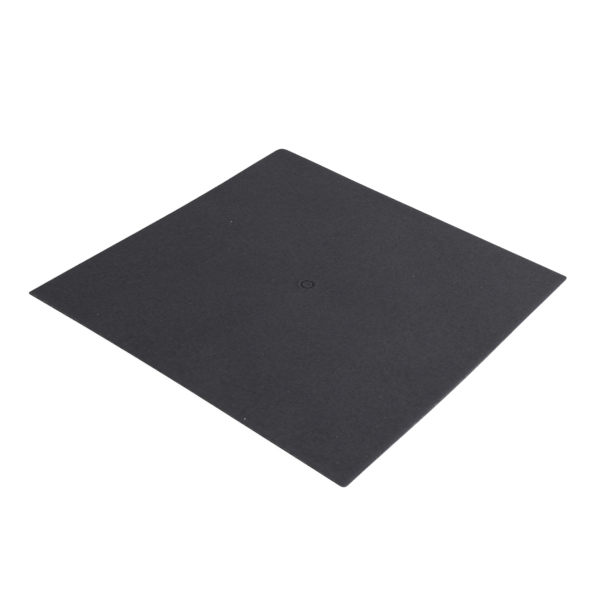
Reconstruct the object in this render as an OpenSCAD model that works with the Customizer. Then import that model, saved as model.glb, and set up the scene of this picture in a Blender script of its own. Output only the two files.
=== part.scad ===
// Seedling heat mat: a thin square mat that trays of seedlings stand on.
//
// A printed heating film lies on foil and foam between two covers that are welded to a border of
// four strips. A cut-out under the small cap in the centre limits the heat, and two brass eyelets
// in the underside take the lead.
//
// Millimetres. The origin is the middle of the underside, +Z is up and +Y is the side of the eyelets.

/* [Mat] */
// Width of the mat, left to right
mat_w = 508; // [300:1:900]
// Depth of the mat, front to back
mat_d = 508; // [300:1:900]
// Radius of the mat's corners
corner_r = 7; // [2:0.5:15]
// Width of the welded border strips
border_w = 10; // [8:0.5:25]
// Gap between the border and the layers inside it
layer_gap = 0.3; // [0.1:0.1:1]

/* [Layers] */
// Thickness of the bottom cover
bottom_t = 0.5; // [0.3:0.05:1]
// Thickness of the insulating foam
foam_t = 0.9; // [0.85:0.05:6]
// Thickness of the reflector foil
foil_t = 0.1; // [0.05:0.01:0.3]
// Thickness of each of the two films round the heater
film_t = 0.1; // [0.05:0.01:0.3]
// Thickness of the top cover
top_t = 0.6; // [0.4:0.05:1.2]

/* [Heater] */
// Width of one heating strip
strip_w = 18; // [8:0.5:30]
// Gap between neighbouring strips
strip_gap = 4; // [2:0.5:12]
// Thickness of the printed strips
strip_t = 0.05; // [0.02:0.01:0.1]
// Least distance from the outermost strips to the border
strip_margin = 12; // [8:1:40]
// Width of a busbar
busbar_w = 12; // [9:0.5:20]
// Thickness of a busbar
busbar_t = 0.05; // [0.02:0.01:0.1]
// Distance from a busbar to the border
busbar_margin = 8; // [4:0.5:20]
// Length of busbar past the last strip
busbar_over = 3; // [1:0.5:6]

/* [Centre cap] */
// Diameter of the cap's face
cap_d = 15; // [12:0.1:30]
// Width of the groove round the cap's face
groove_w = 1.2; // [0.6:0.1:2]
// Depth of the groove that the sealant leaves open
groove_depth = 0.35; // [0.1:0.05:0.35]
// Width of the cap's flange under the top cover, past the groove
flange_lap = 2.3; // [1.5:0.1:6]
// Distance from the cap's flange to the first strip
cap_clear = 2; // [1:0.5:6]

/* [Cut-out and leads] */
// Length of the thermal cut-out
cutout_l = 10; // [6:0.5:14]
// Width of the thermal cut-out
cutout_w = 5; // [4:0.5:8]
// Thickness of the pad between the cut-out and the cap
pad_t = 0.15; // [0.1:0.05:0.3]
// Width of the flat leads
ribbon_w = 3; // [2:0.5:5]
// Thickness of the flat leads
ribbon_t = 0.3; // [0.15:0.05:0.35]
// Gap round the leads and the parts that sit in the foam
pocket_gap = 0.3; // [0.1:0.1:0.6]
// Diameter of a busbar rivet's shank
rivet_d = 3; // [2:0.1:4]
// Width of a rivet's head past its shank
rivet_head_lap = 1; // [0.5:0.1:2]
// Width of the metal round a rivet's hole in a lead
rivet_pad_lap = 2.5; // [1.5:0.1:4]

/* [Eyelets] */
// Bore of an eyelet
bore_d = 4.2; // [3:0.1:5]
// Wall of an eyelet's barrel
barrel_wall = 0.5; // [0.3:0.05:0.8]
// Width of an eyelet's flange past its barrel
eyelet_lap = 1.9; // [1:0.1:3]
// Depth that an eyelet's flange lies below the mat's underside
eyelet_recess = 0.1; // [0.05:0.05:0.2]
// Width of the metal round an eyelet in a lead
eyelet_pad_lap = 1.9; // [1.5:0.1:3]
// Width of an eyelet's rolled lip past its barrel
lip_lap = 1; // [0.5:0.1:2]
// Thickness of an eyelet's rolled lip
lip_t = 0.15; // [0.1:0.05:0.2]
// Width of the rubber ring round an eyelet
gasket_w = 1.5; // [1:0.1:3]
// Distance between the two eyelets
eyelet_spacing = 30; // [24:1:60]
// Distance from the mat's back edge to the eyelets
eyelet_inset = 29; // [26:1:60]
// Thickness of the plate that carries the eyelets
plate_t = 0.4; // [0.3:0.05:0.4]
// Width of the plate past the eyelets' lips
plate_lap = 3.4; // [2:0.1:8]
// Distance between a live part and the foil
creepage = 2; // [1.5:0.5:5]

/* [Hidden] */
$fn = 96;
cut = 0.5; // how far a cutting shape passes the face that it cuts

// heights of the layers, from the underside up
foam_z = bottom_t;
foil_z = foam_z + foam_t;
lower_film_z = foil_z + foil_t;
strip_z = lower_film_z + film_t;
busbar_z = strip_z + strip_t;
upper_film_z = busbar_z + busbar_t;
top_z = upper_film_z + film_t;
mat_h = top_z + top_t;

// the space inside the border
inner_w = mat_w - 2 * border_w;
inner_d = mat_d - 2 * border_w;
layer_w = inner_w - 2 * layer_gap;
layer_d = inner_d - 2 * layer_gap;

// the cap and the room that it takes
cap_hole_d = cap_d + 2 * groove_w;
flange_d = cap_hole_d + 2 * flange_lap;
seal_h = top_t - groove_depth;

// the heater
busbar_x = inner_w / 2 - busbar_margin - busbar_w / 2;
strip_len = 2 * busbar_x + busbar_w;
strip_pitch = strip_w + strip_gap;
first_strip_y = flange_d / 2 + cap_clear + strip_w / 2;
strip_room = inner_d / 2 - strip_margin - strip_w / 2 - first_strip_y;
strips_a_side = floor(strip_room / strip_pitch) + 1;
last_strip_y = first_strip_y + (strips_a_side - 1) * strip_pitch;
busbar_len = 2 * (last_strip_y + strip_w / 2 + busbar_over);

// the cut-out fills the foam's thickness, less its pad
cutout_h = foam_t - pad_t;

// the eyelets
barrel_d = bore_d + 2 * barrel_wall;
eyelet_flange_d = barrel_d + 2 * eyelet_lap;
lip_d = barrel_d + 2 * lip_lap;
gasket_d = eyelet_flange_d + 2 * gasket_w;
plate_z = foam_z + ribbon_t;
lip_z = plate_z + plate_t;
live_xy = [eyelet_spacing / 2, mat_d / 2 - eyelet_inset];
neutral_xy = [-eyelet_spacing / 2, mat_d / 2 - eyelet_inset];
plate_w = eyelet_spacing + lip_d + 2 * plate_lap;
plate_d = lip_d + 2 * plate_lap;

// routes of the flat leads, which turn in square corners
turn_y = cutout_l / 2 + ribbon_w / 2;
right_rivet_xy = [busbar_x, -turn_y];
left_rivet_xy = [-busbar_x, 0];
feed_route = [live_xy, [live_xy.x, turn_y], [0, turn_y]];
link_route = [[0, -turn_y], right_rivet_xy];
neutral_route = [neutral_xy, [neutral_xy.x, 0], left_rivet_xy];
rivet_pad_w = rivet_d + 2 * rivet_pad_lap;
rivet_head_d = rivet_d + 2 * rivet_head_lap;
eyelet_pad_w = barrel_d + 2 * eyelet_pad_lap;

// ---- shapes that more than one piece uses ----

// a flat sheet on the centre, between two heights
module sheet(w, d, z, t) {
  translate([-w / 2, -d / 2, z]) cube([w, d, t]);
}

// a sheet with the mat's outline and rounded corners
module mat_sheet(z, t) {
  sheet(mat_w - 2 * corner_r, mat_d, z, t);
  sheet(mat_w, mat_d - 2 * corner_r, z, t);
  for (sx = [-1, 1], sy = [-1, 1])
    translate([sx * (mat_w / 2 - corner_r), sy * (mat_d / 2 - corner_r), z])
      cylinder(r = corner_r, h = t);
}

// a round hole or post at a place in the plan
module disc(xy, z, d, t) {
  translate([xy.x, xy.y, z]) cylinder(d = d, h = t);
}

// a square pad at a place in the plan
module pad(xy, z, w, t) {
  translate([xy.x - w / 2, xy.y - w / 2, z]) cube([w, w, t]);
}

// a flat lead that follows a route, or the channel for it when it is made wider by a gap
module lead(route, z, t, gap = 0) {
  w = ribbon_w + 2 * gap;
  for (i = [0 : len(route) - 2]) {
    a = route[i];
    b = route[i + 1];
    translate([min(a.x, b.x) - w / 2, min(a.y, b.y) - w / 2, z])
      cube([abs(a.x - b.x) + w, abs(a.y - b.y) + w, t]);
  }
}

// ---- border ----

// the whole border, before it is cut into strips
module border() {
  difference() {
    mat_sheet(foam_z, top_z - foam_z);
    sheet(inner_w, inner_d, foam_z - cut, top_z - foam_z + 2 * cut);
  }
}

// the strip of the border that stands on an outline with a mitre at both ends
module border_strip(outline) {
  intersection() {
    border();
    translate([0, 0, foam_z - cut]) linear_extrude(top_z - foam_z + 2 * cut) polygon(outline);
  }
}

// a strip along the front (-1) or the back (1)
module long_strip(side) {
  border_strip([[-mat_w / 2, side * mat_d / 2], [mat_w / 2, side * mat_d / 2],
                [inner_w / 2, side * inner_d / 2], [-inner_w / 2, side * inner_d / 2]]);
}

// a strip along the left (-1) or the right (1)
module side_strip(side) {
  border_strip([[side * mat_w / 2, -mat_d / 2], [side * mat_w / 2, mat_d / 2],
                [side * inner_w / 2, inner_d / 2], [side * inner_w / 2, -inner_d / 2]]);
}

module edge_strip_front() { color([0.22, 0.22, 0.24]) long_strip(-1); }
module edge_strip_back() { color([0.22, 0.22, 0.24]) long_strip(1); }
module edge_strip_left() { color([0.22, 0.22, 0.24]) side_strip(-1); }
module edge_strip_right() { color([0.22, 0.22, 0.24]) side_strip(1); }

// ---- covers ----

module bottom_cover() {
  color([0.2, 0.2, 0.22]) difference() {
    mat_sheet(0, bottom_t);
    for (xy = [live_xy, neutral_xy]) disc(xy, -cut, gasket_d, bottom_t + 2 * cut);
  }
}

module top_cover() {
  color([0.25, 0.24, 0.27]) difference() {
    mat_sheet(top_z, top_t);
    disc([0, 0], top_z - cut, cap_hole_d, top_t + 2 * cut);
  }
}

// ---- layers under the heater ----

module insulation_foam() {
  color([0.88, 0.88, 0.86]) difference() {
    sheet(layer_w, layer_d, foam_z, foam_t);
    // channels for the leads, open to the bottom cover
    for (route = [feed_route, link_route, neutral_route])
      lead(route, foam_z - cut, ribbon_t + cut, pocket_gap);
    for (xy = [left_rivet_xy, right_rivet_xy]) {
      pad(xy, foam_z - cut, rivet_pad_w + 2 * pocket_gap, ribbon_t + cut);
      disc(xy, foam_z - cut, rivet_d + 2 * pocket_gap, foam_t + 2 * cut);
    }
    // pockets for the cut-out and the eyelets' plate
    translate([-cutout_w / 2 - pocket_gap, -cutout_l / 2 - pocket_gap, foam_z - cut])
      cube([cutout_w + 2 * pocket_gap, cutout_l + 2 * pocket_gap, foam_t + 2 * cut]);
    translate([-plate_w / 2 - pocket_gap, live_xy.y - plate_d / 2 - pocket_gap, foam_z - cut])
      cube([plate_w + 2 * pocket_gap, plate_d + 2 * pocket_gap, foam_t + 2 * cut]);
  }
}

module reflector_foil() {
  color([0.8, 0.81, 0.83]) difference() {
    sheet(layer_w, layer_d, foil_z, foil_t);
    disc([0, 0], foil_z - cut, flange_d + 2 * pocket_gap, foil_t + 2 * cut);
    for (xy = [left_rivet_xy, right_rivet_xy])
      disc(xy, foil_z - cut, rivet_d + 2 * creepage, foil_t + 2 * cut);
    for (xy = [live_xy, neutral_xy])
      disc(xy, foil_z - cut, lip_d + 2 * creepage, foil_t + 2 * cut);
  }
}

// ---- heater ----

module lower_film() {
  color([0.85, 0.83, 0.74]) difference() {
    sheet(layer_w, layer_d, lower_film_z, film_t);
    disc([0, 0], lower_film_z - cut, flange_d + 2 * pocket_gap, film_t + 2 * cut);
    for (xy = [left_rivet_xy, right_rivet_xy])
      disc(xy, lower_film_z - cut, rivet_d + 2 * pocket_gap, film_t + 2 * cut);
  }
}

// the strips run from busbar to busbar, and leave out the band that the cap takes
module heating_strips() {
  color([0.08, 0.08, 0.08])
    for (side = [-1, 1], i = [0 : strips_a_side - 1])
      translate([-strip_len / 2, side * (first_strip_y + i * strip_pitch) - strip_w / 2, strip_z])
        cube([strip_len, strip_w, strip_t]);
}

// a busbar lies across the ends of the strips, with a hole for its rivet
module busbar(x, rivet_xy) {
  difference() {
    translate([x - busbar_w / 2, -busbar_len / 2, busbar_z]) cube([busbar_w, busbar_len, busbar_t]);
    disc(rivet_xy, busbar_z - cut, rivet_d, busbar_t + 2 * cut);
  }
}

module left_busbar() { color([0.72, 0.45, 0.2]) busbar(-busbar_x, left_rivet_xy); }
module right_busbar() { color([0.72, 0.45, 0.2]) busbar(busbar_x, right_rivet_xy); }

module upper_film() {
  color([0.85, 0.83, 0.74]) difference() {
    sheet(layer_w, layer_d, upper_film_z, film_t);
    disc([0, 0], upper_film_z - cut, flange_d + 2 * pocket_gap, film_t + 2 * cut);
    for (xy = [left_rivet_xy, right_rivet_xy])
      disc(xy, upper_film_z - cut, rivet_head_d + 2 * pocket_gap, film_t + 2 * cut);
  }
}

// ---- cap and cut-out in the centre ----

// the flange lies under the top cover, and the face is flush with it
module sensor_cap() {
  color([0.25, 0.24, 0.27]) {
    disc([0, 0], foil_z, flange_d, top_z - foil_z);
    disc([0, 0], top_z, cap_d, top_t);
  }
}

module cap_seal() {
  color([0.05, 0.05, 0.05]) difference() {
    disc([0, 0], top_z, cap_hole_d, seal_h);
    disc([0, 0], top_z - cut, cap_d, seal_h + 2 * cut);
  }
}

module cutout_pad() {
  color([0.6, 0.62, 0.65])
    translate([-cutout_w / 2, -cutout_l / 2, foam_z + cutout_h]) cube([cutout_w, cutout_l, pad_t]);
}

module thermal_cutout() {
  color([0.15, 0.15, 0.16])
    translate([-cutout_w / 2, -cutout_l / 2, foam_z]) cube([cutout_w, cutout_l, cutout_h]);
}

// ---- leads ----

// from the live eyelet to the cut-out
module feed_ribbon() {
  color([0.78, 0.77, 0.72]) difference() {
    union() {
      lead(feed_route, foam_z, ribbon_t);
      pad(live_xy, foam_z, eyelet_pad_w, ribbon_t);
    }
    disc(live_xy, foam_z - cut, barrel_d, ribbon_t + 2 * cut);
  }
}

// from the cut-out to the right busbar
module link_ribbon() {
  color([0.78, 0.77, 0.72]) difference() {
    union() {
      lead(link_route, foam_z, ribbon_t);
      pad(right_rivet_xy, foam_z, rivet_pad_w, ribbon_t);
    }
    disc(right_rivet_xy, foam_z - cut, rivet_d, ribbon_t + 2 * cut);
  }
}

// from the neutral eyelet to the left busbar
module neutral_ribbon() {
  color([0.78, 0.77, 0.72]) difference() {
    union() {
      lead(neutral_route, foam_z, ribbon_t);
      pad(neutral_xy, foam_z, eyelet_pad_w, ribbon_t);
      pad(left_rivet_xy, foam_z, rivet_pad_w, ribbon_t);
    }
    disc(neutral_xy, foam_z - cut, barrel_d, ribbon_t + 2 * cut);
    disc(left_rivet_xy, foam_z - cut, rivet_d, ribbon_t + 2 * cut);
  }
}

// a rivet stands from the underside of its lead to the top of its busbar, where it has its head
module busbar_rivet(xy) {
  color([0.75, 0.5, 0.3]) {
    disc(xy, foam_z, rivet_d, upper_film_z - foam_z);
    disc(xy, upper_film_z, rivet_head_d, film_t);
  }
}

module left_busbar_rivet() { busbar_rivet(left_rivet_xy); }
module right_busbar_rivet() { busbar_rivet(right_rivet_xy); }

// ---- eyelets ----

// the flange faces down, and the rolled lip clamps the lead and the plate on it
module eyelet(xy) {
  color([0.8, 0.65, 0.3]) difference() {
    union() {
      disc(xy, eyelet_recess, eyelet_flange_d, foam_z - eyelet_recess);
      disc(xy, eyelet_recess, barrel_d, lip_z + lip_t - eyelet_recess);
      disc(xy, lip_z, lip_d, lip_t);
    }
    disc(xy, -cut, bore_d, mat_h + 2 * cut);
  }
}

module terminal_live() { eyelet(live_xy); }
module terminal_neutral() { eyelet(neutral_xy); }

module terminal_plate() {
  color([0.3, 0.42, 0.32]) difference() {
    translate([-plate_w / 2, live_xy.y - plate_d / 2, plate_z]) cube([plate_w, plate_d, plate_t]);
    for (xy = [live_xy, neutral_xy]) disc(xy, plate_z - cut, barrel_d, plate_t + 2 * cut);
  }
}

// a rubber ring fills the cover's window round the eyelet's flange
module gasket(xy) {
  color([0.1, 0.1, 0.1]) difference() {
    disc(xy, 0, gasket_d, bottom_t);
    disc(xy, -cut, eyelet_flange_d, bottom_t + 2 * cut);
  }
}

module gasket_live() { gasket(live_xy); }
module gasket_neutral() { gasket(neutral_xy); }

bottom_cover();
edge_strip_front();
edge_strip_back();
edge_strip_left();
edge_strip_right();
insulation_foam();
reflector_foil();
lower_film();
heating_strips();
left_busbar();
right_busbar();
upper_film();
top_cover();
sensor_cap();
cap_seal();
cutout_pad();
thermal_cutout();
feed_ribbon();
link_ribbon();
neutral_ribbon();
left_busbar_rivet();
right_busbar_rivet();
terminal_live();
terminal_neutral();
terminal_plate();
gasket_live();
gasket_neutral();
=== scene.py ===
import math

import bmesh
import bpy
from mathutils import Matrix, Vector


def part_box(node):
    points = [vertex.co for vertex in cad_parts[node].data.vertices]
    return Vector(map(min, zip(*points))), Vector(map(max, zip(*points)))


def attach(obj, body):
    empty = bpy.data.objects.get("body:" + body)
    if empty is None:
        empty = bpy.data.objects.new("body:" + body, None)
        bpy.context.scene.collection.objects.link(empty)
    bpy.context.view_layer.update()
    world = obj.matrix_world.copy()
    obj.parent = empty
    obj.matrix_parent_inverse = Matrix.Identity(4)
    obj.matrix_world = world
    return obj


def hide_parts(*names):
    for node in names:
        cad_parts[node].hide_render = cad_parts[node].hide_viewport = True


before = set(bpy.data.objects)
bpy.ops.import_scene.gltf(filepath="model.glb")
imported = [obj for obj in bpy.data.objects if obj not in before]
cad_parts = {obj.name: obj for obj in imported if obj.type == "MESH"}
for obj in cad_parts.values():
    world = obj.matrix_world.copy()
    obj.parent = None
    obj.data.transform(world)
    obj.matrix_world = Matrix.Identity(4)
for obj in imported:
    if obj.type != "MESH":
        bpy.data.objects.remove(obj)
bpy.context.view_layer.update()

mm = 0.001
tiny = 0.002 * mm
halfWidth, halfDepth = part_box("top_cover")[1].xy
print("frame loaded:", len(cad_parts), "nodes")

# How the mat lies: slack along its middle, with its front and back edges curling up a little.
lie = {
    "backCurl": 4.0 * mm,      # rise of the back edge
    "backEnds": 0.5 * mm,      # what the two ends of that edge rise more
    "frontCurl": 4.6 * mm,     # rise of the front edge where it is highest
    "frontPeak": 0.3,          # where that is, as a share of the half width
    "frontFall": 2.7 * mm,     # how fast the edge falls away from there
    "power": 1.7,
    "middleRise": 1.9 * mm,    # the broad low hump in the middle
    "cornerPull": Vector((-0.3, -1.5, 0)) * mm,   # how the front left corner is drawn out of square
    "cornerLift": 1.1 * mm,    # how far the back left corner lifts
    "liftFrom": 0.68,          # the share of the way to that corner where it starts to lift
    "liftOver": 0.22,
    # How each edge strays outwards: at its ends and at its bow in mm, where the bow is, and its reach.
    "leftEdge": (0.55, -0.9, 0.0, 0.8),
    "rightEdge": (-0.65, 1.75, -0.18, 0.75),
    "frontEdge": (0.7, -0.8, -0.25, 0.9),
    "edgeWander": 0.1 * mm,    # how far the cut edges stray
    "pinchWidth": 5.5 * mm,    # the welded rim is pressed thinner over this width
    "pinchShare": 0.32,
    "rimCuts": (0.7, 1.4, 2.3, 3.6, 5.5),   # millimetres in from each side
    "sheetPitch": 8 * mm,      # the grid that the covers are cut on to take this shape
    "innerPitch": 16 * mm,
}
cornerRadii = {(-1, -1): 3 * mm, (-1, 1): 13.5 * mm, (1, 1): 5 * mm, (1, -1): 5.5 * mm}   # cut by hand


def riseAt(u, v):
    if v > 0:
        rise = lie["backCurl"] + lie["backEnds"] * u * u
    else:
        rise = max(lie["frontCurl"] - lie["frontFall"] * (u - lie["frontPeak"]) ** 2, 0)
    hump = lie["middleRise"] * max(1 - u * u, 0) ** 2 * max(1 - v * v, 0) ** 2
    share = ((1 - u) * (1 + v) / 4 - lie["liftFrom"]) / lie["liftOver"]
    share = min(max(share, 0), 1)
    lift = lie["cornerLift"] * share * share * (3 - 2 * share)
    return rise * abs(v) ** lie["power"] + hump + lift


def strayAt(along, side):
    long, short = math.sin(37 * along + 2 * side), math.sin(101 * along + 5 * side)
    return lie["edgeWander"] * (0.6 * long + 0.4 * short)


def bowAt(along, edge):
    ends, bow, middle, reach = lie[edge]
    return (ends + bow * max(1 - ((along - middle) / reach) ** 2, 0) ** 2) * mm


def pinchAt(x, y):
    inside = min(halfWidth - abs(x), halfDepth - abs(y))
    return 1 - lie["pinchShare"] * max(1 - inside / lie["pinchWidth"], 0) ** 2


def layDown(piece):    # every piece takes the same shape, so the layers stay on each other
    for vert in piece.data.vertices:
        x, y = vert.co.x, vert.co.y
        u, v = x / halfWidth, y / halfDepth
        pull = lie["cornerPull"] * ((1 - u) / 2) ** 3 * ((1 - v) / 2) ** 3
        bowX = bowAt(v, "rightEdge") * max(u, 0) ** 6 - bowAt(v, "leftEdge") * max(-u, 0) ** 6
        bowY = -bowAt(u, "frontEdge") * max(-v, 0) ** 6
        vert.co.x = x - math.copysign(strayAt(y, u), u) * abs(u) ** 14 + pull.x + bowX
        vert.co.y = y - math.copysign(strayAt(x, v), v) * abs(v) ** 14 + pull.y + bowY
        vert.co.z = vert.co.z * pinchAt(x, y) + riseAt(u, v)
    piece.data.update()


def pickOnly(piece):
    bpy.ops.object.select_all(action="DESELECT")
    piece.select_set(True)
    bpy.context.view_layer.objects.active = piece


def editMode(piece):
    pickOnly(piece)
    bpy.ops.object.mode_set(mode="EDIT")
    bpy.ops.mesh.select_mode(type="EDGE")
    bpy.ops.mesh.select_all(action="SELECT")


def objectMode():
    bpy.ops.object.mode_set(mode="OBJECT")


def namePiece(name):    # the primitive just added gets its name, and its place goes into its mesh
    piece = bpy.context.active_object
    piece.name = name
    piece.data.name = name
    bpy.ops.object.transform_apply(location=True, rotation=True, scale=True)
    return piece


def selectEdges(piece, wanted):    # the edges whose two ends both pass
    shape = bmesh.from_edit_mesh(piece.data)
    bpy.ops.mesh.select_all(action="DESELECT")
    for edge in shape.edges:
        if all(wanted(vert.co) for vert in edge.verts):
            edge.select_set(True)
    bmesh.update_edit_mesh(piece.data)


def roundEdges(piece, wanted, width, steps):
    editMode(piece)
    selectEdges(piece, wanted)
    bpy.ops.mesh.bevel(offset=width, segments=steps, affect="EDGES")
    objectMode()


def roundedSlab(name, low, high, radii=None, steps=8):    # radii by corner, as (-1, 1): 5 * mm
    bpy.ops.object.select_all(action="DESELECT")
    middle = (low + high) / 2
    bpy.ops.mesh.primitive_plane_add(size=1, location=(middle.x, middle.y, low.z))
    bpy.context.active_object.scale = (high.x - low.x, high.y - low.y, 1)
    slab = namePiece(name)
    editMode(slab)
    for (sideX, sideY), radius in (radii or {}).items():
        corner = Vector((high.x if sideX > 0 else low.x, high.y if sideY > 0 else low.y, low.z))
        shape = bmesh.from_edit_mesh(slab.data)
        bpy.ops.mesh.select_mode(type="VERT")
        bpy.ops.mesh.select_all(action="DESELECT")
        for vert in shape.verts:
            vert.select_set((vert.co - corner).length < tiny)
        bmesh.update_edit_mesh(slab.data)
        bpy.ops.mesh.bevel(offset=radius, segments=steps, affect="VERTICES")
    bpy.ops.mesh.select_mode(type="EDGE")
    bpy.ops.mesh.select_all(action="SELECT")
    bpy.ops.mesh.extrude_region_move(TRANSFORM_OT_translate={"value": (0, 0, high.z - low.z)})
    bpy.ops.mesh.select_all(action="SELECT")
    bpy.ops.mesh.normals_make_consistent(inside=False)
    objectMode()
    return slab


def cutAway(piece, cutter):
    pickOnly(piece)
    cut = piece.modifiers.new("cut", "BOOLEAN")
    cut.operation = "DIFFERENCE"
    cut.solver = "EXACT"
    cut.object = cutter
    bpy.ops.object.modifier_apply(modifier=cut.name)
    bpy.data.objects.remove(cutter)


def cutRound(piece, middle, radius, steps=96):
    bpy.ops.object.select_all(action="DESELECT")
    bpy.ops.mesh.primitive_cylinder_add(
        vertices=steps, radius=radius, depth=20 * mm, location=(middle.x, middle.y, 0))
    cutAway(piece, namePiece("cutter"))


def gridCut(piece, pitch):
    editMode(piece)
    for axis, half in ((0, halfWidth), (1, halfDepth)):
        count = round(2 * half / pitch)
        places = [half * (2 * step / count - 1) for step in range(1, count)]
        for cut in lie["rimCuts"]:
            places += [cut * mm - half, half - cut * mm]
        for along in places:
            place, normal = Vector((0, 0, 0)), Vector((0, 0, 0))
            place[axis], normal[axis] = along, 1
            bpy.ops.mesh.select_all(action="SELECT")
            bpy.ops.mesh.bisect(plane_co=place, plane_no=normal, threshold=tiny / 10)
    objectMode()


def extrudeRings(middle, rings):    # the selected ring is drawn out from each place to the next
    for (radius, height), (nextRadius, nextHeight) in zip(rings, rings[1:]):
        bpy.ops.mesh.extrude_edges_move(
            TRANSFORM_OT_translate={"value": (0, 0, nextHeight - height)})
        share = nextRadius / radius
        bpy.ops.transform.resize(
            value=(share, share, 1), center_override=(middle.x, middle.y, nextHeight))


def onRing(middle, ring):
    return lambda co: (abs(math.hypot(co.x - middle.x, co.y - middle.y) - ring[0]) < tiny
                       and abs(co.z - ring[1]) < tiny)


def swell(start, end, level, drop, bead, steps=9):
    # (radius, height) corners of a surface that sinks by drop at start and swells a little before end
    corners = []
    for step in range(steps + 1):
        share = step / steps
        height = level - drop * (1 - share) ** 3 + bead * math.sin(math.pi * share)
        corners.append((start + (end - start) * share, height))
    return corners


def turned(name, middle, rings, closedRing=False, steps=96):
    # rings are the (radius, height) corners of the section, followed from the first to the last
    radius, height = rings[0]
    bpy.ops.object.select_all(action="DESELECT")
    bpy.ops.mesh.primitive_circle_add(
        vertices=steps, radius=radius, location=(middle.x, middle.y, height))
    piece = namePiece(name)
    editMode(piece)
    extrudeRings(middle, rings)
    first, last = onRing(middle, rings[0]), onRing(middle, rings[-1])
    if closedRing:
        selectEdges(piece, lambda co: first(co) or last(co))
        bpy.ops.mesh.bridge_edge_loops()
    else:
        for end in (first, last):
            selectEdges(piece, end)
            bpy.ops.mesh.edge_face_add()
            bpy.ops.mesh.poke()
    bpy.ops.mesh.select_all(action="SELECT")
    bpy.ops.mesh.normals_make_consistent(inside=False)
    objectMode()
    return piece


def copyNode(node, name):
    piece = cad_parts[node].copy()
    piece.data = piece.data.copy()
    piece.parent = None
    piece.name = name
    piece.data.name = name
    for key in list(piece.keys()):
        del piece[key]
    bpy.context.scene.collection.objects.link(piece)
    editMode(piece)
    bpy.ops.mesh.remove_doubles(threshold=tiny)
    bpy.ops.mesh.dissolve_limited(angle_limit=math.radians(0.5))
    objectMode()
    return piece


def handOver(piece, material, slot, *nodes, angle=35):
    pickOnly(piece)
    bpy.ops.object.shade_smooth_by_angle(angle=math.radians(angle))
    piece.data.materials.clear()
    piece.data.materials.append(material)
    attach(piece, "root")
    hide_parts(*nodes)


# Material tools. A value given to put() is either a number or the socket that it comes from.
def feed(tree, socket, value):
    if isinstance(value, bpy.types.NodeSocket):
        tree.links.new(value, socket)
    else:
        socket.default_value = value


def put(tree, kind, inputs, **settings):
    made = tree.nodes.new("ShaderNode" + kind)
    for key, value in settings.items():
        setattr(made, key, value)
    for key, value in inputs.items():
        feed(tree, made.inputs[key], value)
    return made


def maths(tree, operation, first, second=0.0, clamp=False):
    return put(tree, "Math", {0: first, 1: second}, operation=operation, use_clamp=clamp).outputs[0]


def mixColour(tree, share, first, second):
    return put(tree, "Mix", {0: share, 6: first, 7: second}, data_type="RGBA").outputs[2]


def spread(tree, value, low, high, start=0.0, end=1.0):    # value from low..high to start..end
    return put(tree, "MapRange", {0: value, 1: low, 2: high, 3: start, 4: end}).outputs[0]


def noise(tree, where, scale, detail=2.0, roughness=0.5):
    inputs = {"Vector": where, "Scale": scale, "Detail": detail, "Roughness": roughness}
    return put(tree, "TexNoise", inputs).outputs[0]


def stretched(tree, where, turn, squeeze):
    inputs = {"Vector": where, "Rotation": (0, 0, turn), "Scale": (1, squeeze, 1)}
    return put(tree, "Mapping", inputs).outputs[0]


def newGroup(name, inputs, outputs):
    group = bpy.data.node_groups.new(name, "ShaderNodeTree")
    for label, kind in inputs.items():
        group.interface.new_socket(name=label, in_out="INPUT", socket_type="NodeSocket" + kind)
    for label in outputs:
        group.interface.new_socket(name=label, in_out="OUTPUT", socket_type="NodeSocketFloat")
    given = group.nodes.new("NodeGroupInput").outputs
    result = group.nodes.new("NodeGroupOutput").inputs
    return group, given, result


def useGroup(tree, group, inputs):
    made = tree.nodes.new("ShaderNodeGroup")
    made.node_tree = group
    for key, value in inputs.items():
        feed(tree, made.inputs[key], value)
    return made.outputs


def makeGrain():    # fine pebbles, soft mottling and crossed fibres
    group, given, result = newGroup(
        "pebbleGrain", {"Vector": "Vector", "Size": "Float", "Fibre": "Float"}, ["Height", "Mottle"])
    where = put(group, "VectorMath", {0: given["Vector"], 3: maths(group, "DIVIDE", 1.0, given["Size"])},
                operation="SCALE").outputs[0]
    fine = noise(group, where, 1.0, 3.0, 0.6)
    coarse = noise(group, where, 0.3, 2.0)
    threads = maths(group, "MAXIMUM",
                    noise(group, stretched(group, where, 0.5, 0.12), 0.9, 1.0),
                    noise(group, stretched(group, where, -1.1, 0.12), 0.9, 1.0))
    threads = spread(group, threads, 0.45, 0.8)
    body = maths(group, "ADD", maths(group, "MULTIPLY", fine, 0.65), maths(group, "MULTIPLY", coarse, 0.35))
    threaded = maths(group, "MULTIPLY", threads, given["Fibre"])
    feed(group, result["Height"], maths(group, "ADD", body, threaded))
    feed(group, result["Mottle"], maths(group, "ADD", spread(group, body, 0.3, 0.7), threaded))
    return group


def makeSpecks():    # sparse dots of uneven size
    group, given, result = newGroup(
        "dustSpecks", {"Vector": "Vector", "Spacing": "Float", "Size": "Float", "Share": "Float"}, ["Mask"])
    where = put(group, "VectorMath",
                {0: given["Vector"], 3: maths(group, "DIVIDE", 1.0, given["Spacing"])},
                operation="SCALE").outputs[0]
    cells = put(group, "TexVoronoi", {"Vector": where, "Scale": 1.0}, voronoi_dimensions="2D").outputs
    chance = put(group, "SeparateColor", {0: cells["Color"]}).outputs
    reach = maths(group, "DIVIDE", given["Size"], given["Spacing"])
    reach = maths(group, "MULTIPLY", reach, spread(group, chance[1], 0, 1, 0.5, 1.2))
    inside = spread(group, maths(group, "DIVIDE", cells["Distance"], reach), 1.0, 0.4)
    kept = maths(group, "LESS_THAN", chance[0], given["Share"])
    feed(group, result["Mask"], maths(group, "MULTIPLY", inside, kept))
    return group


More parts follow.
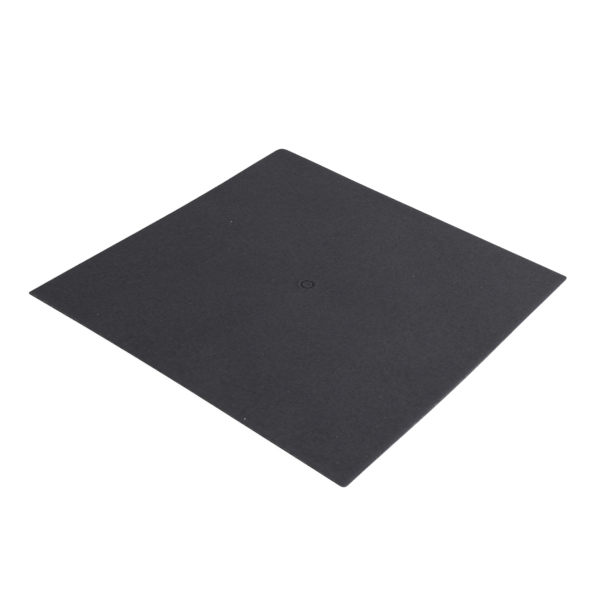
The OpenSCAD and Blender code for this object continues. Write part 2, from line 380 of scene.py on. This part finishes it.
def makeFleck():    # one dot at a given place
    group, given, result = newGroup(
        "lintFleck", {"Vector": "Vector", "Place": "Vector", "Size": "Float"}, ["Mask"])
    away = put(group, "VectorMath", {0: given["Vector"], 1: given["Place"]}, operation="DISTANCE").outputs["Value"]
    feed(group, result["Mask"], spread(group, maths(group, "DIVIDE", away, given["Size"]), 1.0, 0.5))
    return group


def makeRimBand():    # a band along the mat's outline, patchy where Break is high: wear on the underside, painted highlight on the charcoal sheets
    group, given, result = newGroup(
        "rimBand", {"Vector": "Vector", "Band": "Float", "Break": "Float"}, ["Mask"])
    part = put(group, "SeparateXYZ", {0: given["Vector"]}).outputs
    insideX = maths(group, "SUBTRACT", halfWidth, maths(group, "ABSOLUTE", part[0]))
    insideY = maths(group, "SUBTRACT", halfDepth, maths(group, "ABSOLUTE", part[1]))
    depth = maths(group, "DIVIDE", maths(group, "MINIMUM", insideX, insideY), given["Band"])
    patchy = spread(group, noise(group, given["Vector"], 140.0, 4.0, 0.7), 0.65, 0.3)
    broken = maths(group, "SUBTRACT", 1.0, maths(group, "MULTIPLY", patchy, given["Break"]))
    feed(group, result["Mask"], maths(group, "MULTIPLY", spread(group, depth, 1.0, 0.0), broken))
    return group


def makeLipBand():    # a band of painted highlight round a lip of the cap's groove, patchy where Break is high
    group, given, result = newGroup(
        "lipBand", {"Vector": "Vector", "Radius": "Float", "Band": "Float", "Break": "Float"}, ["Mask"])
    part = put(group, "SeparateXYZ", {0: given["Vector"]}).outputs
    flat = put(group, "CombineXYZ", {0: part[0], 1: part[1]}).outputs[0]
    reach = put(group, "VectorMath", {0: flat}, operation="LENGTH").outputs["Value"]
    away = maths(group, "ABSOLUTE", maths(group, "SUBTRACT", reach, given["Radius"]))
    near = spread(group, maths(group, "DIVIDE", away, given["Band"]), 1.0, 0.0)
    patchy = spread(group, noise(group, given["Vector"], 190.0, 2.0), 0.6, 0.4)
    broken = maths(group, "SUBTRACT", 1.0, maths(group, "MULTIPLY", patchy, given["Break"]))
    feed(group, result["Mask"], maths(group, "MULTIPLY", near, broken))
    return group


def makeStreaks():    # long streaks along Y, as rolling leaves in metal or a coater in film
    group, given, result = newGroup(
        "rolledStreaks", {"Vector": "Vector", "Size": "Float", "Stretch": "Float"}, ["Value"])
    part = put(group, "SeparateXYZ", {0: given["Vector"]}).outputs
    along = maths(group, "DIVIDE", part[1], given["Stretch"])
    where = put(group, "CombineXYZ", {0: part[0], 1: along, 2: part[2]}).outputs[0]
    scale = maths(group, "DIVIDE", 1.0, given["Size"])
    feed(group, result["Value"], spread(group, noise(group, where, scale, 3.0, 0.6), 0.3, 0.7))
    return group


grain, specks, fleck, rimBand, lipBand, streaks = (
    makeGrain(), makeSpecks(), makeFleck(), makeRimBand(), makeLipBand(), makeStreaks())


def startMaterial(name, roughness, metallic=0.0, specular=0.5):
    material = bpy.data.materials.new(name)
    material.use_nodes = True
    tree = material.node_tree
    shader = tree.nodes["Principled BSDF"]
    shader.inputs["Roughness"].default_value = roughness
    shader.inputs["Metallic"].default_value = metallic
    shader.inputs["Specular IOR Level"].default_value = specular
    where = put(tree, "TexCoord", {}).outputs["Object"]
    return material, tree, shader, where


def bumpInto(tree, shader, height, depth, strength=1.0):
    bump = put(tree, "Bump", {"Height": height, "Distance": depth, "Strength": strength})
    feed(tree, shader.inputs["Normal"], bump.outputs[0])


# The top cover, the cap and the border share one charcoal sheet material with small differences.
charcoal = {
    "dark": (0.0175, 0.0162, 0.0230, 1),
    "light": (0.0460, 0.0442, 0.0538, 1),
    "violet": (0.0370, 0.0315, 0.0470, 1),
    "green": (0.0270, 0.0320, 0.0350, 1),
    # A painted highlight colour, for the outline and the groove's lips.
    "paintedHighlight": (0.110, 0.106, 0.122, 1),
    # Used for the dust specks, and also as a painted highlight at the very edge.
    "dustAndHighlight": (0.190, 0.185, 0.190, 1),
    "lint": (0.420, 0.390, 0.390, 1),
    # Flecks of lint: where each lies on the top, and its radius, in mm.
    "flecks": (((-173.5, 44.5, 3.1), 1.0), ((95, 112, 4.3), 0.65), ((108, -248, 6.8), 1.15),
               ((-153.5, -229, 4.4), 0.6)),
    "grainSize": 1.25 * mm,
    "fibre": 0.18,
    "grainDepth": 0.05 * mm,
    "roughness": 0.78,
    "specular": 0.18,
}


def charcoalSheet(name, tone=1.0, rim=0.4, dusty=1.0, lip=0):    # rim: strength of the painted highlight along the outline; lip: radius of a ring of painted highlight
    look = charcoal
    material, tree, shader, where = startMaterial(name, look["roughness"], 0, look["specular"])
    texture = useGroup(tree, grain, {"Vector": where, "Size": look["grainSize"], "Fibre": look["fibre"]})
    patches = spread(tree, noise(tree, where, 110.0, 2.0), 0.3, 0.7, -0.11, 0.11)
    broad = spread(tree, noise(tree, where, 9.0, 2.0), 0.35, 0.65, -0.10, 0.10)
    tint = maths(tree, "ADD", maths(tree, "ADD", texture["Mottle"], patches), broad)
    dark, light, violet, green = [tuple(part * tone for part in look[key][:3]) + (1,)
                                  for key in ("dark", "light", "violet", "green")]
    colour = mixColour(tree, tint, dark, light)
    hue = noise(tree, where, 330.0, 2.0)
    colour = mixColour(tree, spread(tree, hue, 0.5, 0.75, 0, 0.6), colour, violet)
    colour = mixColour(tree, spread(tree, hue, 0.5, 0.25, 0, 0.6), colour, green)
    dustAndHighlight = useGroup(tree, specks, {"Vector": where, "Spacing": 22 * mm, "Size": 0.75 * mm, "Share": 0.3})
    colour = mixColour(tree, maths(tree, "MULTIPLY", dustAndHighlight["Mask"], 0.6 * dusty), colour, look["dustAndHighlight"])
    for place, size in look["flecks"] if dusty else ():
        lint = useGroup(tree, fleck, {"Vector": where, "Place": Vector(place) * mm, "Size": size * mm})
        colour = mixColour(tree, lint["Mask"], colour, look["lint"])
    # Painted highlight along the outline: a broad lighter band, and a pale narrow one at the very edge, for light
    # catching the rim.
    paintedHighlight = useGroup(tree, rimBand, {"Vector": where, "Band": 12 * mm, "Break": 0.35})
    paintedHighlight = maths(tree, "POWER", paintedHighlight["Mask"], 1.7)
    colour = mixColour(tree, maths(tree, "MULTIPLY", paintedHighlight, 0.6 * rim), colour, look["paintedHighlight"])
    edgeBand = useGroup(tree, rimBand, {"Vector": where, "Band": 1.1 * mm, "Break": 1.0})
    colour = mixColour(tree, maths(tree, "MULTIPLY", edgeBand["Mask"], rim), colour, look["dustAndHighlight"])
    # Painted highlight round a lip of the cap's groove.
    if lip:
        lipHighlight = useGroup(tree, lipBand, {"Vector": where, "Radius": lip, "Band": 1.1 * mm, "Break": 0.8})
        colour = mixColour(tree, maths(tree, "MULTIPLY", lipHighlight["Mask"], 0.22), colour, look["paintedHighlight"])
    feed(tree, shader.inputs["Base Color"], colour)
    feed(tree, shader.inputs["Roughness"],
         spread(tree, texture["Mottle"], 0, 1, look["roughness"] + 0.1, look["roughness"] - 0.06))
    bumpInto(tree, shader, texture["Height"], look["grainDepth"], 0.7)
    return material


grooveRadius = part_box("cap_seal")[1].x
coverSheet = charcoalSheet("coverSheet", lip=grooveRadius + 1 * mm)
capSheet = charcoalSheet("capSheet", rim=0, lip=grooveRadius - 2.3 * mm)
borderSheet = charcoalSheet("borderSheet", tone=1.1, rim=0.3, dusty=0)


def gripSheet():    # the underside, embossed with a fine diagonal grip
    material, tree, shader, where = startMaterial("gripSheet", 0.6, 0, 0.4)
    texture = useGroup(tree, grain, {"Vector": where, "Size": 1.6 * mm, "Fibre": 0.05})
    ridges = []
    for turn in (0.785, -0.785):
        lines = put(tree, "TexWave", {"Vector": stretched(tree, where, turn, 1), "Scale": 75.0},
                    bands_direction="X")
        ridges.append(lines.outputs[1])
    weave = maths(tree, "MAXIMUM", ridges[0], ridges[1])
    colour = mixColour(tree, texture["Mottle"], (0.018, 0.0175, 0.020, 1), (0.034, 0.033, 0.037, 1))
    edgeBand = useGroup(tree, rimBand, {"Vector": where, "Band": 3 * mm, "Break": 1.0})
    colour = mixColour(tree, maths(tree, "MULTIPLY", edgeBand["Mask"], 0.3), colour, (0.10, 0.10, 0.10, 1))
    feed(tree, shader.inputs["Base Color"], colour)
    bumpInto(tree, shader, maths(tree, "ADD", weave, maths(tree, "MULTIPLY", texture["Height"], 0.4)),
             0.12 * mm)
    return material


def rubberLike(name, dark, light, size, roughness, specular=0.35):
    material, tree, shader, where = startMaterial(name, roughness, 0, specular)
    texture = useGroup(tree, grain, {"Vector": where, "Size": size, "Fibre": 0})
    feed(tree, shader.inputs["Base Color"], mixColour(tree, texture["Mottle"], dark, light))
    bumpInto(tree, shader, texture["Height"], 0.04 * mm)
    return material


def metalLike(name, dark, light, size, stretch, roughness):
    material, tree, shader, where = startMaterial(name, roughness, 1)
    lines = useGroup(tree, streaks, {"Vector": where, "Size": size, "Stretch": stretch})
    cloud = spread(tree, noise(tree, where, 90.0, 3.0), 0.4, 0.7)
    share = maths(tree, "ADD", maths(tree, "MULTIPLY", lines["Value"], 0.6),
                  maths(tree, "MULTIPLY", cloud, 0.4))
    feed(tree, shader.inputs["Base Color"], mixColour(tree, share, dark, light))
    feed(tree, shader.inputs["Roughness"], spread(tree, share, 0, 1, roughness + 0.12, roughness - 0.05))
    bumpInto(tree, shader, lines["Value"], 0.01 * mm)
    return material


def foamLike(name):    # closed cells
    material, tree, shader, where = startMaterial(name, 0.9, 0, 0.2)
    cells = put(tree, "TexVoronoi", {"Vector": where, "Scale": 900.0}, feature="SMOOTH_F1").outputs["Distance"]
    texture = useGroup(tree, grain, {"Vector": where, "Size": 3 * mm, "Fibre": 0})
    colour = mixColour(tree, texture["Mottle"], (0.66, 0.655, 0.62, 1), (0.82, 0.815, 0.79, 1))
    feed(tree, shader.inputs["Base Color"], mixColour(tree, spread(tree, cells, 0.2, 0.9), colour, (0.9, 0.9, 0.88, 1)))
    bumpInto(tree, shader, cells, 0.12 * mm)
    return material


def filmLike(name):    # clear polyester, a little amber
    material, tree, shader, where = startMaterial(name, 0.22, 0, 0.5)
    lines = useGroup(tree, streaks, {"Vector": where, "Size": 4 * mm, "Stretch": 30})
    feed(tree, shader.inputs["Base Color"],
         mixColour(tree, lines["Value"], (0.76, 0.73, 0.62, 1), (0.84, 0.82, 0.74, 1)))
    feed(tree, shader.inputs["Alpha"], spread(tree, lines["Value"], 0, 1, 0.5, 0.62))
    feed(tree, shader.inputs["Roughness"], spread(tree, lines["Value"], 0, 1, 0.18, 0.3))
    bumpInto(tree, shader, lines["Value"], 0.01 * mm)
    return material


def boardLike(name):    # glass-filled laminate with its weave showing
    material, tree, shader, where = startMaterial(name, 0.5, 0, 0.5)
    threads = [put(tree, "TexWave", {"Vector": where, "Scale": 260.0}, bands_direction=way).outputs[1]
               for way in ("X", "Y")]
    weave = maths(tree, "MULTIPLY", threads[0], threads[1])
    feed(tree, shader.inputs["Base Color"],
         mixColour(tree, weave, (0.055, 0.105, 0.062, 1), (0.12, 0.2, 0.13, 1)))
    bumpInto(tree, shader, weave, 0.02 * mm)
    return material


gripUnderside = gripSheet()
# The sealant's near-black colour is its own dark colour, made darker so that it also paints the shade in the cap's
# groove.
sealant = rubberLike("sealant", (0.003, 0.003, 0.0035, 1), (0.007, 0.007, 0.008, 1), 0.6 * mm, 0.85, 0.1)
gasketRubber = rubberLike("gasketRubber", (0.012, 0.012, 0.0125, 1), (0.024, 0.024, 0.025, 1), 0.5 * mm, 0.7)
padRubber = rubberLike("padRubber", (0.30, 0.32, 0.35, 1), (0.40, 0.42, 0.45, 1), 0.7 * mm, 0.8)
cutoutCase = rubberLike("cutoutCase", (0.022, 0.022, 0.024, 1), (0.036, 0.036, 0.039, 1), 0.4 * mm, 0.45)
carbonPrint = rubberLike("carbonPrint", (0.012, 0.012, 0.013, 1), (0.030, 0.030, 0.031, 1), 0.9 * mm, 0.7)
copperStrip = metalLike("copperStrip", (0.62, 0.30, 0.16, 1), (0.88, 0.50, 0.32, 1), 0.6 * mm, 40, 0.32)
tinnedCopper = metalLike("tinnedCopper", (0.58, 0.57, 0.53, 1), (0.78, 0.77, 0.73, 1), 0.4 * mm, 30, 0.35)
foilSheet = metalLike("foilSheet", (0.74, 0.745, 0.76, 1), (0.86, 0.865, 0.88, 1), 1.5 * mm, 60, 0.3)
eyeletBrass = metalLike("eyeletBrass", (0.60, 0.40, 0.14, 1), (0.84, 0.64, 0.30, 1), 0.5 * mm, 4, 0.28)
cellFoam, polyesterFilm, glassBoard = foamLike("cellFoam"), filmLike("polyesterFilm"), boardLike("glassBoard")
print("materials made:", len(bpy.data.materials))


# Top cover: a soft cut rim, and a surface that dips down all round the cap's hole.
cover = {"rim": 0.4 * mm, "dipWidth": 4.5 * mm, "dipDrop": 0.5 * mm, "dipBead": 0.34 * mm}


def makeTopCover():
    low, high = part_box("top_cover")
    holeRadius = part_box("cap_seal")[1].x
    dipRadius = holeRadius + cover["dipWidth"]
    piece = roundedSlab("topCover", low, high, cornerRadii)
    roundEdges(piece, lambda co: abs(co.z - high.z) < tiny, cover["rim"], 4)
    middle = Vector((0, 0))
    cutRound(piece, middle, dipRadius)
    editMode(piece)
    bpy.ops.mesh.select_mode(type="FACE")
    bpy.ops.mesh.select_all(action="DESELECT")
    for face in bmesh.from_edit_mesh(piece.data).faces:
        face.select_set(abs(face.calc_center_median().xy.length - dipRadius) < 0.1 * mm)
    bpy.ops.mesh.delete(type="ONLY_FACE")
    bpy.ops.mesh.select_mode(type="EDGE")
    dip = swell(holeRadius, dipRadius, high.z, cover["dipDrop"], cover["dipBead"])
    selectEdges(piece, onRing(middle, dip[-1]))
    extrudeRings(middle, dip[::-1] + [(holeRadius, low.z), (dipRadius, low.z)])
    bpy.ops.mesh.select_all(action="SELECT")
    bpy.ops.mesh.remove_doubles(threshold=tiny)
    bpy.ops.mesh.normals_make_consistent(inside=False)
    objectMode()
    gridCut(piece, lie["sheetPitch"])
    layDown(piece)
    handOver(piece, coverSheet, "cover", "top_cover")


# Bottom cover: the same outline, with a window for each eyelet and its gasket.
bottom = {"rim": 0.14 * mm}


def middleOf(node):
    low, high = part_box(node)
    return (low + high) / 2


def makeBottomCover():
    low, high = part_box("bottom_cover")
    piece = roundedSlab("bottomCover", low, high, cornerRadii)
    roundEdges(piece, lambda co: abs(co.z - low.z) < tiny, bottom["rim"], 2)
    for node in ("gasket_live", "gasket_neutral"):
        middle = middleOf(node)
        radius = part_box(node)[1].x - middle.x
        cutRound(piece, middle, radius, 72)
    gridCut(piece, lie["sheetPitch"])
    layDown(piece)
    handOver(piece, gripUnderside, "underside", "bottom_cover")


# Border: one frame, cut at its four mitres.
def makeBorder():
    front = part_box("edge_strip_front")
    low = Vector((-halfWidth, -halfDepth, front[0].z))
    high = Vector((halfWidth, halfDepth, front[1].z))
    width = front[1].y - front[0].y
    piece = roundedSlab("border", low, high, cornerRadii)
    roundEdges(piece, lambda co: abs(co.z - high.z) < tiny or abs(co.z - low.z) < tiny, 0.05 * mm, 1)
    inset = Vector((width, width, -2 * mm))
    cutAway(piece, roundedSlab("cutter", low + inset, high - inset))
    gridCut(piece, lie["sheetPitch"])
    for side, node in (((0, -1), "edge_strip_front"), ((0, 1), "edge_strip_back"),
                       ((-1, 0), "edge_strip_left"), ((1, 0), "edge_strip_right")):
        out = Vector((side[0], side[1], 0))
        along = Vector((-out.y, out.x, 0))
        strip = piece.copy()
        strip.data = piece.data.copy()
        strip.name = "border" + node.split("_")[-1].capitalize()
        strip.data.name = strip.name
        bpy.context.scene.collection.objects.link(strip)
        for way in (along, -along):
            corner = Vector(((out.x + way.x) * halfWidth, (out.y + way.y) * halfDepth, low.z))
            editMode(strip)
            bpy.ops.mesh.bisect(plane_co=corner, plane_no=(way - out).normalized(),
                                use_fill=True, clear_outer=True, threshold=tiny / 10)
            objectMode()
        layDown(strip)
        handOver(strip, borderSheet, "border", node)
    bpy.data.objects.remove(piece)


# Cap: a flange under the cover, and a button with a rounded shoulder and a slight dish.
cap = {"shoulder": 3.4 * mm, "drop": 0.5 * mm, "bead": 0.2 * mm, "dish": 0.3 * mm}

# The bead's reach over both lips and its smear on one side are painted shade: near-black sealant laid where the
# groove's shade falls.
sealBead = {
    "shadeCreep": 0.18 * mm,     # how far the near-black bead reaches over both lips: painted shade in the groove
    "edge": 0.015 * mm,
    "sag": 0.2 * mm,
    "shadeSmear": 0.4 * mm,      # how much further that painted shade reaches over the cover's lip on one side
    "shadeSmearTo": Vector((0.5, -0.87)),
}


def makeCap():
    low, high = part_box("sensor_cap")
    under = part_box("top_cover")[0].z
    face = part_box("cap_seal")[1].x - 1.2 * mm
    level = face - cap["shoulder"]
    rings = [(high.x * 0.3, low.z), (high.x - 0.05 * mm, low.z), (high.x, low.z + 0.05 * mm),
             (high.x, under), (face, under)]
    rings += swell(face, level, high.z, cap["drop"], cap["bead"])
    rings += [(level * share, high.z - cap["dish"] * (1 - share ** 2)) for share in (0.7, 0.4, 0.15)]
    piece = turned("sensorCap", Vector((0, 0)), rings)
    layDown(piece)
    handOver(piece, capSheet, "cap", "sensor_cap", angle=50)

    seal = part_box("cap_seal")
    outer, inner = seal[1].x, face
    shadeCreep, edge, sag = sealBead["shadeCreep"], sealBead["edge"], sealBead["sag"]
    loop = [(inner, seal[0].z), (outer, seal[0].z), (outer, seal[1].z - sag)]
    for step in range(9):
        side = 1 - step / 4
        radius = (inner + outer) / 2 + side * ((outer - inner) / 2 + shadeCreep)
        loop.append((radius, seal[1].z + edge - sag * (1 - side ** 2)))
    loop.append((inner, seal[1].z - sag))
    ring = turned("capSeal", Vector((0, 0)), loop, closedRing=True)
    for vert in ring.data.vertices:
        reach = vert.co.xy.length
        if reach > outer + tiny:
            way = vert.co.xy / reach
            vert.co.xy += way * sealBead["shadeSmear"] * max(way.dot(sealBead["shadeSmearTo"]), 0) ** 2
    layDown(ring)
    handOver(ring, sealant, "sealant", "cap_seal")


# Eyelets with rolled lips, and the rubber rings round them.
eyelet = {"bore": 2.1 * mm, "wall": 0.5 * mm, "roll": 0.1 * mm}


def makeEyelets():
    for side in ("live", "neutral"):
        node = "terminal_" + side
        low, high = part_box(node)
        middle = (low + high) / 2
        flange = high.x - middle.x
        bore, roll = eyelet["bore"], eyelet["roll"]
        barrel = bore + eyelet["wall"]
        foamLow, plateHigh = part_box("insulation_foam")[0].z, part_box("terminal_plate")[1].z
        lip = barrel + 1 * mm
        rings = [(bore, low.z + roll), (bore + roll, low.z), (flange - roll, low.z),
                 (flange - 0.3 * roll, low.z + 0.3 * roll), (flange, low.z + roll), (flange, foamLow),
                 (barrel, foamLow), (barrel, plateHigh), (lip, plateHigh), (lip, high.z - 0.6 * roll),
                 (lip - 0.6 * roll, high.z), (bore + roll, high.z), (bore, high.z - roll)]
        piece = turned("eyelet" + side.capitalize(), middle, rings, closedRing=True, steps=72)
        layDown(piece)
        handOver(piece, eyeletBrass, "terminal_brass", node)

        ringNode = "gasket_" + side
        low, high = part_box(ringNode)
        outer = high.x - middle.x
        loop = [(flange, high.z), (flange, low.z + 0.12 * mm), (flange + 0.12 * mm, low.z + 0.02 * mm),
                (outer - 0.12 * mm, low.z), (outer, low.z + 0.1 * mm), (outer, high.z)]
        ring = turned("gasket" + side.capitalize(), middle, loop, closedRing=True, steps=72)
        layDown(ring)
        handOver(ring, gasketRubber, "gasket_rubber", ringNode)


# The cut-out: a moulded case with rounded edges and a lid seam pressed in.
def makeCutout():
    low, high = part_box("thermal_cutout")
    corners = {(sideX, sideY): 0.5 * mm for sideX in (-1, 1) for sideY in (-1, 1)}
    piece = roundedSlab("thermalCutout", low, high, corners, 4)
    editMode(piece)
    bpy.ops.mesh.select_mode(type="FACE")
    bpy.ops.mesh.select_all(action="DESELECT")
    shape = bmesh.from_edit_mesh(piece.data)
    for face in shape.faces:
        face.select_set(face.normal.z > 0.9)
    bmesh.update_edit_mesh(piece.data)
    bpy.ops.mesh.inset(thickness=0.5 * mm)
    bpy.ops.mesh.inset(thickness=0.08 * mm, depth=-0.06 * mm)
    bpy.ops.mesh.inset(thickness=0.08 * mm, depth=0.06 * mm)
    objectMode()
    roundEdges(piece, lambda co: abs(co.z - low.z) < tiny, 0.08 * mm, 2)
    layDown(piece)
    handOver(piece, cutoutCase, "cutout_case", "thermal_cutout")


# The layers and leads between the covers keep the shapes that the frame gives them.
inside = {
    "insulation_foam": ("insulationFoam", cellFoam, "foam"),
    "reflector_foil": ("reflectorFoil", foilSheet, "foil"),
    "lower_film": ("lowerFilm", polyesterFilm, "film"),
    "heating_strips": ("heatingStrips", carbonPrint, "carbon"),
    "left_busbar": ("leftBusbar", copperStrip, "copper"),
    "right_busbar": ("rightBusbar", copperStrip, "copper"),
    "upper_film": ("upperFilm", polyesterFilm, "film"),
    "cutout_pad": ("cutoutPad", padRubber, "thermal_pad"),
    "feed_ribbon": ("feedRibbon", tinnedCopper, "tinned_copper"),
    "link_ribbon": ("linkRibbon", tinnedCopper, "tinned_copper"),
    "neutral_ribbon": ("neutralRibbon", tinnedCopper, "tinned_copper"),
    "left_busbar_rivet": ("leftBusbarRivet", copperStrip, "copper"),
    "right_busbar_rivet": ("rightBusbarRivet", copperStrip, "copper"),
    "terminal_plate": ("terminalPlate", glassBoard, "plate"),
}


def makeInside():
    for node, (name, material, slot) in inside.items():
        piece = copyNode(node, name)
        gridCut(piece, lie["innerPitch"])
        layDown(piece)
        handOver(piece, material, slot, node)


makeTopCover()
print("top cover done")
makeBottomCover()
makeBorder()
print("bottom cover and border done")
makeCap()
makeEyelets()
makeCutout()
makeInside()
print("cap, eyelets and inner layers done")


# The studio: a white floor and surround, a soft key light from the right and the back, and the camera.
studio = {
    "floorSize": 8.0,
    "floorWhite": 0.93,        # how much of the floor's white doesn't depend on the light
    "worldLevel": 0.44,
    "key": {"place": (1.90, 0.22, 0.40), "size": 0.7, "power": 51.5},     # low, from the right
    "back": {"place": (0.00, 1.00, 0.62), "size": 0.7, "power": 5.0},     # weak, from behind
    "lens": 63.1,
    "azimuth": 36.49,
    "elevation": 37.58,
    "distance": 1.371,
    "lookAt": (11.3 * mm, -28.4 * mm, 0),
    "roll": 3.84,
}


def makeFloor():
    bpy.ops.object.select_all(action="DESELECT")
    bpy.ops.mesh.primitive_plane_add(size=studio["floorSize"], location=(0, 0, -0.05 * mm))
    floor = namePiece("floor")
    material = bpy.data.materials.new("floorWhite")
    material.use_nodes = True
    tree = material.node_tree
    tree.nodes.remove(tree.nodes["Principled BSDF"])
    rays = put(tree, "LightPath", {}).outputs
    seen = maths(tree, "MAXIMUM", rays["Is Camera Ray"], rays["Is Glossy Ray"])
    seen = maths(tree, "MAXIMUM", seen, rays["Is Transmission Ray"])
    plain = put(tree, "BsdfDiffuse", {"Color": (0.86, 0.86, 0.86, 1)}).outputs[0]
    white = put(tree, "Emission", {"Color": (1, 1, 1, 1), "Strength": 1.05}).outputs[0]
    share = maths(tree, "MULTIPLY", seen, studio["floorWhite"])
    both = put(tree, "MixShader", {0: share, 1: plain, 2: white}).outputs[0]
    tree.links.new(both, tree.nodes["Material Output"].inputs["Surface"])
    floor.data.materials.append(material)


def makeWorld():
    world = bpy.data.worlds.new("studioWorld")
    bpy.context.scene.world = world
    world.use_nodes = True
    tree = world.node_tree
    rays = put(tree, "LightPath", {}).outputs
    seen = maths(tree, "MAXIMUM", rays["Is Camera Ray"], rays["Is Glossy Ray"])
    seen = maths(tree, "MAXIMUM", seen, rays["Is Transmission Ray"])
    soft = put(tree, "Background", {"Color": (1, 1, 1, 1), "Strength": studio["worldLevel"]}).outputs[0]
    white = put(tree, "Background", {"Color": (1, 1, 1, 1), "Strength": 1.0}).outputs[0]
    both = put(tree, "MixShader", {0: seen, 1: soft, 2: white}).outputs[0]
    tree.links.new(both, tree.nodes["World Output"].inputs["Surface"])


def makeLight(name):
    bpy.ops.object.select_all(action="DESELECT")
    bpy.ops.object.light_add(type="AREA", location=studio[name]["place"])
    light = bpy.context.active_object
    light.name = name + "Light"
    light.data.shape = "DISK"
    light.data.size = studio[name]["size"]
    light.data.energy = studio[name]["power"]
    light.rotation_euler = (-Vector(studio[name]["place"])).to_track_quat("-Z", "Y").to_euler()
    light.visible_camera = False


def makeCamera():
    azimuth, elevation = math.radians(studio["azimuth"]), math.radians(studio["elevation"])
    back = Vector((math.sin(azimuth) * math.cos(elevation), -math.cos(azimuth) * math.cos(elevation),
                   math.sin(elevation)))
    right = (-back).cross(Vector((0, 0, 1))).normalized()
    up = back.cross(right)
    turn = Matrix.Rotation(math.radians(studio["roll"]), 3, back)
    bpy.ops.object.camera_add()
    camera = bpy.context.active_object
    camera.name = "camera"
    camera.data.sensor_width = 36
    camera.data.lens = studio["lens"]
    axes = Matrix((turn @ right, turn @ up, back)).transposed()
    place = Vector(studio["lookAt"]) + back * studio["distance"]
    camera.matrix_world = Matrix.LocRotScale(place, axes, None)
    camera.data.clip_start, camera.data.clip_end = 0.05, 50
    bpy.context.scene.camera = camera


makeFloor()
makeWorld()
makeLight("key")
makeLight("back")
makeCamera()
bpy.context.scene.view_settings.view_transform = "Standard"
print("studio done")
